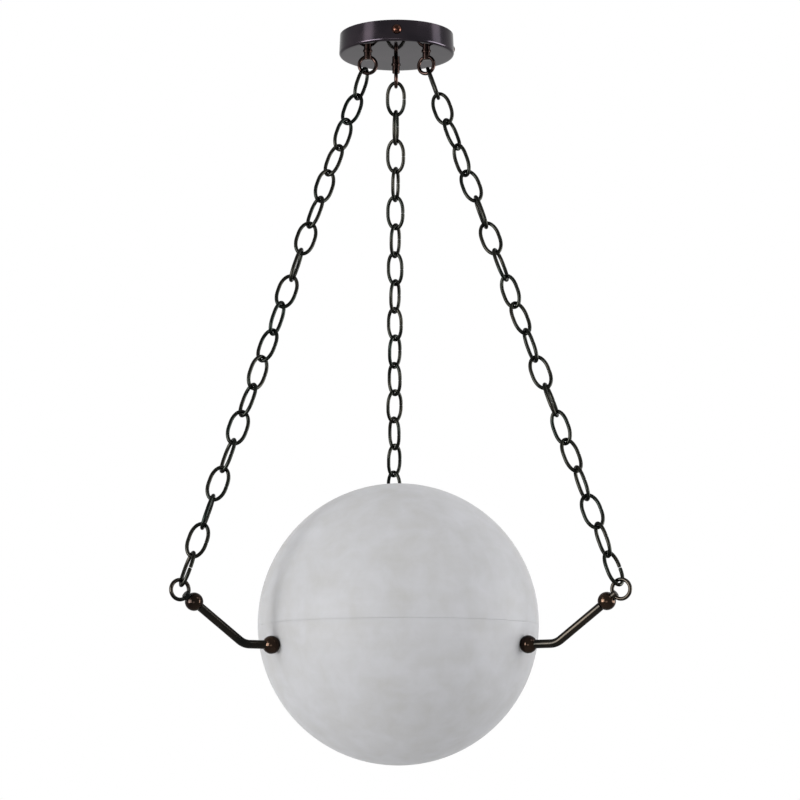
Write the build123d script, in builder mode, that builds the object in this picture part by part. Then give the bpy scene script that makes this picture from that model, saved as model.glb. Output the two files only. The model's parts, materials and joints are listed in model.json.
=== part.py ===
"""Globe pendant light: two alabaster half shells hung on three chains from a round ceiling canopy.

Millimetres, +Z up. The origin is the middle of the ceiling plane, and everything hangs below it.
The front is -Y. One chain hangs at the back and one on each side of the front, a third of a turn apart.
"""
import os
from math import acos, atan2, cos, degrees, pi, radians, sin, sqrt

from build123d import *

os.makedirs("parts", exist_ok=True)

# Chains round the lamp: name and compass angle, counted from +X towards +Y
SIDES = {"back": 90, "left": 210, "right": 330}

# Canopy: a spun cup with a slightly flared wall and a rolled lower edge
CANOPY_D = 127.0
CANOPY_H = 23.0
CANOPY_WALL = 1.2
CANOPY_FLARE = 1.0
CANOPY_EDGE_R = 2.6

# Ceiling bracket: a round plate with two slots for the ceiling box and three tapped tabs
PLATE_T = 1.5
PLATE_WALL_GAP = 1.8
PLATE_WIRE_HOLE_D = 22.0
SLOT_SPACING = 88.9
SLOT_LENGTH = 12.0
SLOT_WIDTH = 5.0
TAB_W = 14.0
TAB_T = 2.0
TAB_DROP = 17.0

# Canopy side screws, at the compass angles where they show
SIDE_SCREW_ANGLES = (269, 16, 143)
SIDE_SCREW_UP = 12.5
SIDE_SCREW_HEAD_D = 11.0
SIDE_SCREW_HEAD_H = 4.4
SIDE_SCREW_D = 4.0
SIDE_SCREW_REACH = 5.0
SIDE_SCREW_SEAT = 0.3

# Terminal block under the ceiling plate
BLOCK_L = 30.0
BLOCK_W = 15.0
BLOCK_H = 10.0
BLOCK_OUT = 36.0
BLOCK_WAYS = 3
BLOCK_WIRE_D = 3.4

# Screw eyes: those under the canopy and those at the ends of the arms
EYE_WIRE = 4.1
EYE_NECK_D = 8.4
EYE_NECK_PAST = 1.3
EYE_CHORDS = 20
EYE_WIRE_SIDES = 8
HOOK_RING_D = 22.6
HOOK_CIRCLE_R = 37.0
HOOK_DROP = 15.6
HOOK_COLLAR_D = 10.4
HOOK_COLLAR_T = 1.6
HOOK_SHANK_D = 6.0
HOOK_TURN = {"back": 0, "left": -30, "right": 0}
ARM_RING_D = 24.2
ARM_EYE_REACH = 20.0
ARM_EYE_SHANK_D = 5.0
ARM_EYE_SHANK_L = 5.5

# Chain: oval links bent from wire, with a butt gap halfway along one side
LINK_COUNT = 19
LINK_INNER_L = 32.4
LINK_WIDTH = 22.6
LINK_WIRE = 4.0
LINK_STRAIGHT = 5.0
LINK_SLACK = 0.4
LINK_BUTT_GAP = 0.4
LINK_OPEN_GAP = 1.0
# Play of the last link in its arm eye: the back chain carries the globe, the others leave room to swing
EYE_PLAY = {"back": LINK_SLACK, "left": 1.2, "right": 1.2}
LINK_END_CHORDS = 6
LINK_WIRE_SIDES = 8
# How far each link has turned about its chain, in degrees from facing the front
LINK_ROLL = {
    "back": (0, 78, -20, 70, -27, 60, -37, 59, -41, 50, -50, 36, -57, 45, -46, 42, -48, 58, -12),
    "left": (66, -22, 45, -39, 32, -53, 13, 85, 0, 66, -29, 38, -52, 15, -64, 4, 90, 0, -67),
    "right": (83, -25, 49, -58, 8, 90, -8, 62, -43, 29, -78, 0, 67, -44, 27, -77, 0, -72, 36),
}

# Alabaster globe: a bowl with a register lip, and a dome that sits over the lip
GLOBE_D = 300.0
GLOBE_WALL = 10.0
SEAM_BELOW = 2.4
SEAM_GAP = 0.3
SEAM_CHAMFER = 0.3
LIP_H = 4.0
LIP_T = 4.5
LIP_CLEAR = 0.4

# Arm fixings through the bowl wall
FIXING_BELOW = 26.0
OUTER_SPOT_D = 16.0
INNER_SPOT_D = 19.0
SPOT_DEPTH = 0.3
WALL_HOLE_D = 8.0
STUD_D = 6.0
STUD_PAST_NUT = 2.0
STUD_INTO_BALL = 9.0
OUTER_WASHER_D = 12.4
OUTER_WASHER_T = 1.2
INNER_WASHER_D = 15.0
INNER_WASHER_T = 1.2

# Arms: a bent tube between two balls
BALL_D = 19.0
BALL_FLAT = 7.0
BALL_EYE_FLAT = 7.6
ARM_TUBE_D = 9.0
ARM_TUBE_BORE = 6.0
ARM_SOCKET_END = 4.0
ARM_STUB = 32.0
ARM_RISE = 71.4
ARM_ANGLE = 35.8
ARM_BEND_R = 16.0

# Nuts and washers
NUT_FLATS = 10.0
NUT_H = 5.0
HOOK_WASHER_D = 14.0
HOOK_WASHER_T = 1.2
SHANK_PAST_NUT = 1.8

# Lamp spider, lampholder and bulb inside the globe
SPIDER_T = 2.0
SPIDER_LEG_W = 12.0
SPIDER_ABOVE_STUD = 10.0
SPIDER_RING_D = 52.0
HOLDER_NECK_D = 34.0
HOLDER_BODY_D = 41.0
HOLDER_BODY_H = 26.0
HOLDER_FOOT_R = 4.0
HOLDER_NECK_H = 9.0
HOLDER_FLOOR_T = 6.0
HOLDER_CABLE_D = 8.0
RING_NUT_D = 46.0
RING_NUT_H = 4.5
CAP_D = 26.4
CAP_CLEAR = 0.4
CAP_L = 26.0
CAP_STANDS_OFF = 4.0
CAP_CHAMFER = 3.0
BULB_D = 60.0
BULB_NECK_D = 25.0
BULB_L = 80.0

# Fits between pieces that are screwed or slid together
THREAD_CLEAR = 0.05
HOLE_CLEAR = 0.3

# Sizes that follow from those above
canopy_r = CANOPY_D / 2
canopy_top_r = canopy_r - CANOPY_FLARE
tab_face_r = canopy_top_r - CANOPY_WALL - PLATE_WALL_GAP
underside_z = -CANOPY_H
globe_r = GLOBE_D / 2
globe_bore_r = globe_r - GLOBE_WALL
ball_r = BALL_D / 2
hook_ring_r = (HOOK_RING_D - EYE_WIRE) / 2
arm_ring_r = (ARM_RING_D - EYE_WIRE) / 2

# Distances out from the globe's axis, along the arm fixing
outer_spot_r = sqrt(globe_r**2 - (FIXING_BELOW + OUTER_SPOT_D / 2) ** 2) - SPOT_DEPTH
inner_spot_r = sqrt(globe_bore_r**2 - (FIXING_BELOW - INNER_SPOT_D / 2) ** 2) + SPOT_DEPTH
inner_ball_r = outer_spot_r + OUTER_WASHER_T + BALL_FLAT
spider_tab_r = inner_spot_r - INNER_WASHER_T
nut_face_r = spider_tab_r - SPIDER_T
stud_inner_r = nut_face_r - NUT_H - STUD_PAST_NUT
stud_outer_r = inner_ball_r - BALL_FLAT + STUD_INTO_BALL

# The arm rises from its bend to the outer ball and on to the eye
arm_cos = cos(radians(ARM_ANGLE))
arm_sin = sin(radians(ARM_ANGLE))
bend_r = inner_ball_r + ARM_STUB
outer_ball_r = bend_r + ARM_RISE * arm_cos
outer_ball_up = ARM_RISE * arm_sin
arm_ring_out = outer_ball_r + ARM_EYE_REACH * arm_cos
arm_ring_up = outer_ball_up + ARM_EYE_REACH * arm_sin

# The chain's length and lean set how low the globe hangs
link_pitch = LINK_INNER_L - LINK_SLACK
chain_length = LINK_COUNT * link_pitch - EYE_WIRE - LINK_SLACK
ring_to_ring = chain_length + hook_ring_r + arm_ring_r
chain_run = arm_ring_out - HOOK_CIRCLE_R
chain_fall = sqrt(ring_to_ring**2 - chain_run**2)
hook_ring_z = underside_z - HOOK_DROP
arm_ring_z = hook_ring_z - chain_fall
fixing_z = arm_ring_z - arm_ring_up
globe_z = fixing_z + FIXING_BELOW
seam_z = globe_z - SEAM_BELOW


def outward(angle, out, z):
    """The point at a distance out from the lamp's axis, at a compass angle and a height."""
    return Vector(out * cos(radians(angle)), out * sin(radians(angle)), z)


def facing_out(angle, out, z, rise=0):
    """A plane at that point that looks outwards, and upwards by an angle of rise. Its y runs up."""
    direction = outward(angle, cos(radians(rise)), sin(radians(rise)))
    return Plane(outward(angle, out, z), x_dir=outward(angle + 90, 1, 0), z_dir=direction)


def all_sides(out, z, rise=0):
    """The three planes that look outwards under the three chains."""
    return [facing_out(angle, out, z, rise) for angle in SIDES.values()]


def placed(one, planes):
    """Copies of a finished piece, one on each plane, as separate solids of one group."""
    with BuildPart() as group:
        with Locations(*planes):
            add(one.part)
    return group


def save(piece, name):
    """Label a finished piece and write its file."""
    piece.part.label = name
    export_step(piece.part, f"parts/{name}.step")


def wire_section(plane, diameter, sides):
    """A many-sided wire section with the round wire's area, and a flat that faces its plane's x."""
    corner_r = diameter / 2 * sqrt(2 * pi / (sides * sin(2 * pi / sides)))
    with BuildSketch(plane) as section:
        RegularPolygon(corner_r, sides, rotation=180 / sides)
    return section


def turned_disc(diameter, bore_d, height):
    """A washer or a spacer that stands on its plane."""
    with BuildPart() as disc:
        with BuildSketch():
            Circle(diameter / 2)
            Circle(bore_d / 2, mode=Mode.SUBTRACT)
        extrude(amount=height)
    return disc


def hex_nut(thread_d):
    """A hexagon nut that stands on its plane."""
    with BuildPart() as nut:
        with BuildSketch():
            RegularPolygon(NUT_FLATS / 2, 6, major_radius=False)
            Circle(thread_d / 2 + THREAD_CLEAR, mode=Mode.SUBTRACT)
        extrude(amount=NUT_H)
    return nut


def screw_eye(ring_r, ring_up, shank_d, shank_l, collar_d=0, collar_t=0):
    """A screw eye on its plane: a shank below, and above it a neck with the bent ring in the yz plane."""
    step = 2 * pi / EYE_CHORDS
    turns = [step * (i + 0.5) for i in range(EYE_CHORDS)]
    corner_r = ring_r / cos(step / 2)
    corners = [(0, corner_r * sin(t), ring_up - corner_r * cos(t)) for t in turns]
    neck_l = ring_up - ring_r + EYE_WIRE / 2 + EYE_NECK_PAST
    with BuildPart() as eye:
        with BuildLine() as ring_line:
            Polyline(*corners)
        start = Plane(ring_line.line @ 0, x_dir=(1, 0, 0), z_dir=ring_line.line % 0)
        section = wire_section(start, EYE_WIRE, EYE_WIRE_SIDES)
        sweep(section.sketch, path=ring_line.line, transition=Transition.RIGHT)
        with BuildSketch():
            Circle(EYE_NECK_D / 2)
        extrude(amount=neck_l)
        if collar_d:
            with BuildSketch():
                Circle(collar_d / 2)
            extrude(amount=collar_t)
        with BuildSketch():
            Circle(shank_d / 2)
        extrude(amount=-shank_l)
    return eye


# Canopy cup: the wall flares a little towards the rolled lower edge
screw_z = underside_z + SIDE_SCREW_UP
screw_wall_r = canopy_r - CANOPY_FLARE * SIDE_SCREW_UP / CANOPY_H
with BuildPart() as canopy_cup:
    with BuildSketch(Plane.XZ):
        with BuildLine():
            outside = FilletPolyline(
                (0, underside_z), (canopy_r, underside_z), (canopy_top_r, 0), radius=CANOPY_EDGE_R
            )
            inside = FilletPolyline(
                (0, underside_z + CANOPY_WALL),
                (canopy_r - CANOPY_WALL, underside_z + CANOPY_WALL),
                (canopy_top_r - CANOPY_WALL, 0),
                radius=CANOPY_EDGE_R - CANOPY_WALL,
            )
            Line(outside @ 0, inside @ 0)
            Line(outside @ 1, inside @ 1)
        make_face()
    revolve(axis=Axis.Z)
    with BuildSketch(Plane.XY.offset(underside_z)):
        with Locations(*[outward(angle, HOOK_CIRCLE_R, 0) for angle in SIDES.values()]):
            Circle(HOOK_SHANK_D / 2 + HOLE_CLEAR)
    extrude(amount=CANOPY_WALL, mode=Mode.SUBTRACT)
    with BuildSketch(*[facing_out(angle, tab_face_r, screw_z) for angle in SIDE_SCREW_ANGLES]):
        Circle(SIDE_SCREW_D / 2 + HOLE_CLEAR)
    extrude(amount=canopy_r - tab_face_r, mode=Mode.SUBTRACT)
save(canopy_cup, "canopy_cup")

# Ceiling bracket: a round plate, slotted for the ceiling box, with three bent tabs for the side screws
with BuildPart() as ceiling_bracket:
    with BuildSketch():
        Circle(tab_face_r)
        Circle(PLATE_WIRE_HOLE_D / 2, mode=Mode.SUBTRACT)
        with Locations((-SLOT_SPACING / 2, 0), (SLOT_SPACING / 2, 0)):
            SlotOverall(SLOT_LENGTH, SLOT_WIDTH, mode=Mode.SUBTRACT)
    extrude(amount=-PLATE_T)
    tab_planes = [facing_out(angle, tab_face_r - TAB_T, screw_z) for angle in SIDE_SCREW_ANGLES]
    with BuildSketch(*tab_planes):
        with Locations((0, -screw_z)):
            Rectangle(TAB_W, TAB_DROP, align=(Align.CENTER, Align.MAX))
        Circle(SIDE_SCREW_D / 2 + THREAD_CLEAR, mode=Mode.SUBTRACT)
    extrude(amount=TAB_T)
save(ceiling_bracket, "ceiling_bracket")

# Side screws: a domed head outside the cup and a shank through its wall into the tab
dome_r = (SIDE_SCREW_HEAD_D**2 / 4 + SIDE_SCREW_HEAD_H**2) / (2 * SIDE_SCREW_HEAD_H)
shank_end = tab_face_r - TAB_T - SIDE_SCREW_REACH - screw_wall_r - SIDE_SCREW_SEAT
with BuildPart() as side_screw:
    with BuildSketch(Plane.XZ):
        with BuildLine():
            Polyline(
                (0, SIDE_SCREW_HEAD_H),
                (0, shank_end),
                (SIDE_SCREW_D / 2, shank_end),
                (SIDE_SCREW_D / 2, 0),
                (SIDE_SCREW_HEAD_D / 2, 0),
            )
            RadiusArc((SIDE_SCREW_HEAD_D / 2, 0), (0, SIDE_SCREW_HEAD_H), -dome_r)
        make_face()
    revolve(axis=Axis.Z)
seats = [facing_out(angle, screw_wall_r + SIDE_SCREW_SEAT, screw_z) for angle in SIDE_SCREW_ANGLES]
save(placed(side_screw, seats), "canopy_side_screws")

# Terminal block: three ways, screwed up against the ceiling plate
with BuildPart() as terminal_block:
    with BuildSketch(Plane.XY.offset(-PLATE_T)):
        with Locations((0, -BLOCK_OUT)):
            Rectangle(BLOCK_L, BLOCK_W)
    extrude(amount=-BLOCK_H)
    way_pitch = BLOCK_L / BLOCK_WAYS
    with BuildSketch(Plane.XZ.offset(BLOCK_OUT)):
        with Locations((0, -PLATE_T - BLOCK_H / 2)):
            with GridLocations(way_pitch, 0, BLOCK_WAYS, 1):
                Circle(BLOCK_WIRE_D / 2)
    extrude(amount=BLOCK_W, both=True, mode=Mode.SUBTRACT)
save(terminal_block, "terminal_block")

# Hook eyes under the canopy, with a washer and a nut above its floor
floor_z = underside_z + CANOPY_WALL
hook_shank_l = CANOPY_WALL + HOOK_WASHER_T + NUT_H + SHANK_PAST_NUT
hook_eye = screw_eye(hook_ring_r, HOOK_DROP, HOOK_SHANK_D, hook_shank_l, HOOK_COLLAR_D, HOOK_COLLAR_T)
for side, angle in SIDES.items():
    ring_angle = angle + HOOK_TURN[side]
    seat = Plane(
        outward(angle, HOOK_CIRCLE_R, underside_z), x_dir=outward(ring_angle + 90, 1, 0), z_dir=(0, 0, -1)
    )
    save(placed(hook_eye, [seat]), f"{side}_hook_eye")
hook_washer = turned_disc(HOOK_WASHER_D, HOOK_SHANK_D + 2 * HOLE_CLEAR, HOOK_WASHER_T)
washer_planes = [Plane(outward(angle, HOOK_CIRCLE_R, floor_z)) for angle in SIDES.values()]
save(placed(hook_washer, washer_planes), "hook_washers")
nut_planes = [plane.offset(HOOK_WASHER_T) for plane in washer_planes]
save(placed(hex_nut(HOOK_SHANK_D), nut_planes), "hook_nuts")


def chain_link(gap):
    """One oval link in the xy plane, long in y: a wire from its butt gap round both ends and back.

    Each end is half an ellipse, as chords that touch it.
    """
    half_w = (LINK_WIDTH - LINK_WIRE) / 2
    half_straight = LINK_STRAIGHT / 2
    bow = (LINK_INNER_L + LINK_WIRE) / 2 - half_straight
    step = pi / LINK_END_CHORDS
    corner_w = half_w / cos(step / 2)
    corner_bow = bow / cos(step / 2)
    bends = [step * (i + 0.5) for i in range(LINK_END_CHORDS)]
    top = [(corner_w * cos(t), half_straight + corner_bow * sin(t)) for t in bends]
    bottom = [(-x, -y) for x, y in top]
    with BuildPart() as link:
        with BuildLine() as link_line:
            Polyline((half_w, gap / 2), *top, *bottom, (half_w, -gap / 2))
        start = Plane(link_line.line @ 0, x_dir=(1, 0, 0), z_dir=(0, 1, 0))
        section = wire_section(start, LINK_WIRE, LINK_WIRE_SIDES)
        sweep(section.sketch, path=link_line.line, transition=Transition.RIGHT)
    return link


def link_planes(side):
    """The plane of every link of one chain, from the hook eye down to the arm eye.

    The chain is straight between the two rings. It touches each ring where the ring's plane meets its pull.
    """
    angle = SIDES[side]
    hook_ring = outward(angle, HOOK_CIRCLE_R, hook_ring_z)
    arm_ring = outward(angle, arm_ring_out, arm_ring_z)
    pull = (arm_ring - hook_ring).normalized()
    across_hook = outward(angle + HOOK_TURN[side] + 90, 1, 0)
    hook_pull = (pull - across_hook * pull.dot(across_hook)).normalized()
    start = hook_ring + hook_pull * hook_ring_r
    end = arm_ring - pull * arm_ring_r
    down = (end - start).normalized()
    pitch = ((end - start).length + EYE_WIRE + EYE_PLAY[side]) / LINK_COUNT
    slack = LINK_INNER_L - pitch
    first = (LINK_INNER_L + LINK_WIRE) / 2 - (EYE_WIRE + LINK_WIRE) / 2 - slack
    level = (Vector(1, 0, 0) - down * down.X).normalized()
    depth = level.cross(down)
    planes = []
    for i, roll in enumerate(LINK_ROLL[side]):
        wide = level * cos(radians(roll)) + depth * sin(radians(roll))
        planes.append(Plane(start + down * (first + i * pitch), x_dir=wide, z_dir=down.cross(wide)))
    print(side, "chain: pitch", round(pitch, 3), "slack", round(slack, 3))
    print("  hook contact", start, "first joint", start + down * (first + pitch / 2))
    print("  last joint", end - down * (first + pitch / 2), "eye contact", end)
    return planes


# Chains: the first link turns in the hook eye, and the back chain's last link turns in the arm eye
plain_link = chain_link(LINK_BUTT_GAP)
opened_link = chain_link(LINK_OPEN_GAP)
for side in SIDES:
    planes = link_planes(side)
    save(placed(plain_link, planes[:1]), f"{side}_top_link")
    save(placed(plain_link, planes[1:-1]), f"{side}_chain_links")
    save(placed(opened_link, planes[-1:]), f"{side}_end_link")

# Arms: a bent tube whose ends sit in the two balls
for side, angle in SIDES.items():
    with BuildPart() as arm_tube:
        arm_plane = Plane((0, 0, fixing_z), x_dir=outward(angle, 1, 0), z_dir=outward(angle - 90, 1, 0))
        with BuildLine(arm_plane) as tube_line:
            FilletPolyline(
                (inner_ball_r + ARM_SOCKET_END, 0),
                (bend_r, 0),
                (outer_ball_r - ARM_SOCKET_END * arm_cos, outer_ball_up - ARM_SOCKET_END * arm_sin),
                radius=ARM_BEND_R,
            )
        with BuildSketch(facing_out(angle, inner_ball_r + ARM_SOCKET_END, fixing_z)) as tube_section:
            Circle(ARM_TUBE_D / 2)
            Circle(ARM_TUBE_BORE / 2, mode=Mode.SUBTRACT)
        sweep(tube_section.sketch, path=tube_line.line)
    save(arm_tube, f"{side}_arm_tube")

# Balls: the inner one is flattened where it clamps the stone, the outer one where the eye screws in
with BuildPart() as inner_ball:
    Sphere(ball_r)
    with BuildSketch(Plane.XY.offset(-BALL_FLAT)):
        Circle(ball_r)
    extrude(amount=-ball_r, mode=Mode.SUBTRACT)
    with BuildSketch(Plane.XY.offset(-BALL_FLAT)):
        Circle(STUD_D / 2 + THREAD_CLEAR)
    extrude(amount=STUD_INTO_BALL, mode=Mode.SUBTRACT)
    with BuildSketch(Plane.XY.offset(ARM_SOCKET_END)):
        Circle(ARM_TUBE_D / 2 + THREAD_CLEAR)
    extrude(amount=ball_r, mode=Mode.SUBTRACT)
save(placed(inner_ball, all_sides(inner_ball_r, fixing_z)), "inner_balls")

outer_ball_planes = all_sides(outer_ball_r, fixing_z + outer_ball_up, ARM_ANGLE)
with BuildPart() as outer_ball:
    Sphere(ball_r)
    with BuildSketch(Plane.XY.offset(BALL_EYE_FLAT)):
        Circle(ball_r)
    extrude(amount=ball_r, mode=Mode.SUBTRACT)
    with BuildSketch(Plane.XY.offset(BALL_EYE_FLAT)):
        Circle(ARM_EYE_SHANK_D / 2 + THREAD_CLEAR)
    extrude(amount=-ARM_EYE_SHANK_L, mode=Mode.SUBTRACT)
    with BuildSketch(Plane.XY.offset(-ARM_SOCKET_END)):
        Circle(ARM_TUBE_D / 2 + THREAD_CLEAR)
    extrude(amount=-ball_r, mode=Mode.SUBTRACT)
save(placed(outer_ball, outer_ball_planes), "outer_balls")

arm_eye = screw_eye(arm_ring_r, ARM_EYE_REACH - BALL_EYE_FLAT, ARM_EYE_SHANK_D, ARM_EYE_SHANK_L)
for side, plane in zip(SIDES, outer_ball_planes):
    save(placed(arm_eye, [plane.offset(BALL_EYE_FLAT)]), f"{side}_arm_eye")

# Studs that clamp the arms to the bowl, with a soft washer on each face of the stone
with BuildPart() as stud:
    with BuildSketch():
        Circle(STUD_D / 2)
    extrude(amount=stud_outer_r - stud_inner_r)
save(placed(stud, all_sides(stud_inner_r, fixing_z)), "wall_studs")
outer_washer = turned_disc(OUTER_WASHER_D, STUD_D + 2 * HOLE_CLEAR, OUTER_WASHER_T)
save(placed(outer_washer, all_sides(outer_spot_r, fixing_z)), "outer_soft_washers")
inner_washer = turned_disc(INNER_WASHER_D, STUD_D + 2 * HOLE_CLEAR, INNER_WASHER_T)
save(placed(inner_washer, all_sides(spider_tab_r, fixing_z)), "inner_soft_washers")
save(placed(hex_nut(STUD_D), all_sides(nut_face_r - NUT_H, fixing_z)), "wall_nuts")


def sphere_r(radius, z):
    """The radius of a sphere's level circle at a height above or below its middle."""
    return sqrt(radius**2 - z**2)


# Bowl: the lower half shell, with a lip that the dome drops over and three clamped holes
lip_r = globe_bore_r + LIP_T
lip_up = LIP_H - SEAM_BELOW
chamfer_up = -SEAM_BELOW - SEAM_CHAMFER
with BuildPart() as alabaster_bowl:
    with BuildSketch(Plane.XZ):
        with BuildLine():
            outer_edge = (sphere_r(globe_r, chamfer_up), globe_z + chamfer_up)
            inner_edge = (sphere_r(globe_bore_r, lip_up), globe_z + lip_up)
            RadiusArc((0, globe_z - globe_r), outer_edge, -globe_r)
            Polyline(
                outer_edge,
                (sphere_r(globe_r, SEAM_BELOW) - SEAM_CHAMFER, seam_z),
                (lip_r, seam_z),
                (lip_r, seam_z + LIP_H),
                inner_edge,
            )
            RadiusArc((0, globe_z - globe_bore_r), inner_edge, -globe_bore_r)
            Line((0, globe_z - globe_r), (0, globe_z - globe_bore_r))
        make_face()
    revolve(axis=Axis.Z)
    with BuildSketch(*all_sides(outer_spot_r, fixing_z)):
        Circle(OUTER_SPOT_D / 2)
    extrude(amount=GLOBE_WALL, mode=Mode.SUBTRACT)
    with BuildSketch(*all_sides(inner_spot_r, fixing_z)):
        Circle(INNER_SPOT_D / 2)
    extrude(amount=-GLOBE_WALL, mode=Mode.SUBTRACT)
    with BuildSketch(*all_sides(inner_spot_r, fixing_z)):
        Circle(WALL_HOLE_D / 2)
    extrude(amount=GLOBE_WALL, mode=Mode.SUBTRACT)
save(alabaster_bowl, "alabaster_bowl")

# Dome: the upper half shell, rebated inside to clear the bowl's lip
dome_up = SEAM_GAP - SEAM_BELOW
rebate_up = lip_up + LIP_CLEAR
with BuildPart() as alabaster_dome:
    with BuildSketch(Plane.XZ):
        with BuildLine():
            outer_edge = (sphere_r(globe_r, dome_up + SEAM_CHAMFER), globe_z + dome_up + SEAM_CHAMFER)
            inner_edge = (sphere_r(globe_bore_r, rebate_up), globe_z + rebate_up)
            RadiusArc((0, globe_z + globe_r), outer_edge, globe_r)
            Polyline(
                outer_edge,
                (sphere_r(globe_r, dome_up) - SEAM_CHAMFER, globe_z + dome_up),
                (lip_r + LIP_CLEAR, globe_z + dome_up),
                (lip_r + LIP_CLEAR, globe_z + rebate_up),
                inner_edge,
            )
            RadiusArc((0, globe_z + globe_bore_r), inner_edge, globe_bore_r)
            Line((0, globe_z + globe_r), (0, globe_z + globe_bore_r))
        make_face()
    revolve(axis=Axis.Z)
save(alabaster_dome, "alabaster_dome")

# Lamp spider: three legs from the studs to a ring that carries the lampholder
spider_z = fixing_z + SPIDER_ABOVE_STUD
with BuildPart() as lamp_spider:
    with BuildSketch(Plane.XY.offset(spider_z)):
        Circle(SPIDER_RING_D / 2)
        with Locations(*[Location((0, 0, 0), (0, 0, angle)) for angle in SIDES.values()]):
            Rectangle(spider_tab_r, SPIDER_LEG_W, align=(Align.MIN, Align.CENTER))
        Circle(HOLDER_NECK_D / 2 + HOLE_CLEAR, mode=Mode.SUBTRACT)
    extrude(amount=SPIDER_T)
    with BuildSketch(*all_sides(nut_face_r, fixing_z)):
        Circle(SPIDER_LEG_W / 2)
        Rectangle(SPIDER_LEG_W, SPIDER_ABOVE_STUD, align=(Align.CENTER, Align.MIN))
        Circle(STUD_D / 2 + HOLE_CLEAR, mode=Mode.SUBTRACT)
    extrude(amount=SPIDER_T)
save(lamp_spider, "lamp_spider")

# Lampholder: its neck stands through the spider's ring and a ring nut holds it there
neck_top = spider_z + SPIDER_T + HOLDER_NECK_H
holder_floor = spider_z - HOLDER_BODY_H + HOLDER_FLOOR_T
with BuildPart() as lampholder:
    with BuildSketch(Plane.XY.offset(spider_z)):
        Circle(HOLDER_BODY_D / 2)
    extrude(amount=-HOLDER_BODY_H)
    fillet(lampholder.edges().group_by(Axis.Z)[0], HOLDER_FOOT_R)
    with BuildSketch(Plane.XY.offset(spider_z)):
        Circle(HOLDER_NECK_D / 2)
    extrude(amount=neck_top - spider_z)
    with BuildSketch(Plane.XY.offset(neck_top)):
        Circle(CAP_D / 2 + CAP_CLEAR)
    extrude(amount=holder_floor - neck_top, mode=Mode.SUBTRACT)
    with BuildSketch(Plane.XY.offset(holder_floor)):
        Circle(HOLDER_CABLE_D / 2)
    extrude(amount=-HOLDER_FLOOR_T, mode=Mode.SUBTRACT)
save(lampholder, "lampholder")
ring_nut = turned_disc(RING_NUT_D, HOLDER_NECK_D + 2 * THREAD_CLEAR, RING_NUT_H)
save(placed(ring_nut, [Plane.XY.offset(spider_z + SPIDER_T)]), "holder_ring_nut")

# Bulb: a screw cap and a round envelope whose neck meets the ball on its tangent
cap_z = holder_floor + CAP_STANDS_OFF
glass_z = cap_z + CAP_L
bulb_r = BULB_D / 2
bulb_mid = glass_z + BULB_L - bulb_r
with BuildPart() as bulb_cap:
    with BuildSketch(Plane.XY.offset(cap_z)):
        Circle(CAP_D / 2)
    extrude(amount=CAP_L)
    chamfer(bulb_cap.edges().group_by(Axis.Z)[0], CAP_CHAMFER)
save(bulb_cap, "bulb_cap")
neck_reach = sqrt((BULB_NECK_D / 2) ** 2 + (bulb_mid - glass_z) ** 2)
tangent = degrees(atan2(glass_z - bulb_mid, BULB_NECK_D / 2) + acos(bulb_r / neck_reach))
with BuildPart() as bulb_glass:
    with BuildSketch(Plane.XZ):
        with BuildLine():
            ball_line = CenterArc((0, bulb_mid), bulb_r, tangent, 90 - tangent)
            Polyline(ball_line @ 0, (BULB_NECK_D / 2, glass_z), (0, glass_z), ball_line @ 1)
        make_face()
    revolve(axis=Axis.Z)
save(bulb_glass, "bulb_glass")

print("globe middle", round(globe_z, 3), "fixing", round(fixing_z, 3), "seam", round(seam_z, 3))
print("hook ring", round(hook_ring_z, 3), "arm ring", round(arm_ring_out, 3), round(arm_ring_z, 3))
print("lowest point", round(globe_z - globe_r, 3), "bulb top", round(bulb_mid + bulb_r, 3))
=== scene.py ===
# %% [markdown]
# # A globe pendant light in alabaster and dark bronze
#
# Two half shells of alabaster make a globe. Three bent arms hold it, and three chains hang it from a
# round ceiling canopy. All sizes are in metres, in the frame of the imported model: +Z is up, the ceiling
# is at z = 0, and the photograph looks along +Y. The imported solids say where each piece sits. This script
# makes finer surfaces in the same places, and gives every piece its finish.

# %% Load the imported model
import json
from math import acos, atan2, cos, degrees, hypot, pi, radians, sin, sqrt, tan

import bmesh
import bpy
import numpy as np
from mathutils import Matrix, Vector


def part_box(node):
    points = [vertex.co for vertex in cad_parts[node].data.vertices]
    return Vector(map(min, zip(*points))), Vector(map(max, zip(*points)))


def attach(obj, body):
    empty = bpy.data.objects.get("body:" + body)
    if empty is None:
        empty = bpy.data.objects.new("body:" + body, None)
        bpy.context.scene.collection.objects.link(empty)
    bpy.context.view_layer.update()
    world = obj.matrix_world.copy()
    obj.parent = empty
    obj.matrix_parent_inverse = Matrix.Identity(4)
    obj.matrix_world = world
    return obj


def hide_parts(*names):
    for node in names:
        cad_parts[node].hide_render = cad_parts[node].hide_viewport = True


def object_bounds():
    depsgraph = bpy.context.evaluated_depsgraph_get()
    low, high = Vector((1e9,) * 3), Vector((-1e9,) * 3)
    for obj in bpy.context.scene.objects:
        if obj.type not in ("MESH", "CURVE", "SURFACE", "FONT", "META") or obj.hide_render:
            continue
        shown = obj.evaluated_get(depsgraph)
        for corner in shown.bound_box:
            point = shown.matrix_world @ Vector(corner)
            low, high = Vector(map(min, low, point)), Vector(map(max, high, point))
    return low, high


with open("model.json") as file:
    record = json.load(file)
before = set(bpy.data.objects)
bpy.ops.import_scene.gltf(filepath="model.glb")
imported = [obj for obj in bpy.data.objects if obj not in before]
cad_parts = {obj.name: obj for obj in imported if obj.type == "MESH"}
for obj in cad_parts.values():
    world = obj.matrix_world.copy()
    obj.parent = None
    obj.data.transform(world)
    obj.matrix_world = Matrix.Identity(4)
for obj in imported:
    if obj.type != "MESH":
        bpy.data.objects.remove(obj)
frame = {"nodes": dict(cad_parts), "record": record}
cad_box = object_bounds()
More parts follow.
